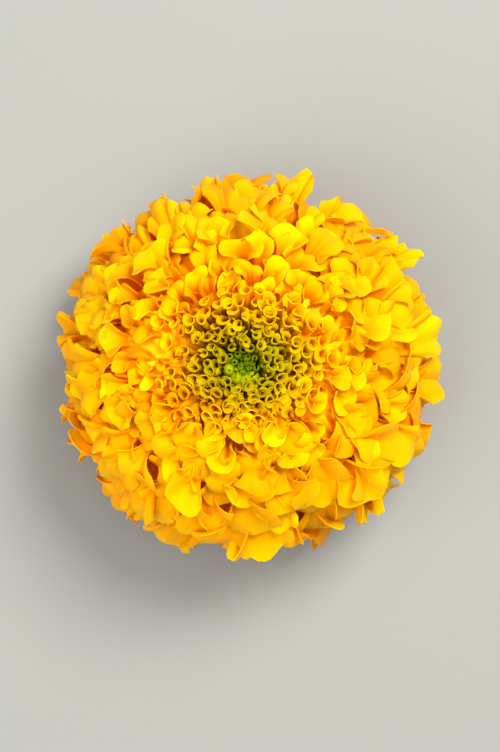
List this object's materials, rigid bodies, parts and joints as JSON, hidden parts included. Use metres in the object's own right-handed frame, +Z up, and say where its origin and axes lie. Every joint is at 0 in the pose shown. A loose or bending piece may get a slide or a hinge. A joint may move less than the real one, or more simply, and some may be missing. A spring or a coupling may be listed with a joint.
{
  "type": "african marigold flower head",
  "caption": "Fully double marigold flower head, picked close under its ribbed green cup and resting face up, with waved gold fans outside and rolled tubes in the middle.",
  "frame": {"origin": "centre of the stalk's flat cut end, on the surface that the flower head rests on", "axes": "+Z up out of the face of the flower, +Y towards the top of the picture, +X to its right"},
  "size_m": [0.0809, 0.0822, 0.0494],
  "materials": {
    "ray_gold": "soft satin petal, bright gold at the lip and orange in the throat",
    "quill_yellow": "soft satin petal, greenish towards the middle of the head",
    "young_green": "soft satin, fresh yellow green",
    "involucre_green": "smooth waxy leaf green with fine oil glands",
    "stalk_green": "smooth pale green with a pale cut end"
  },
  "bodies": {
    "root": {"stalk": "stalk_green", "involucre": "involucre_green", "ray_florets": "ray_gold", "quilled_florets": "quill_yellow", "young_florets": "young_green"}
  },
  "joints": []
}
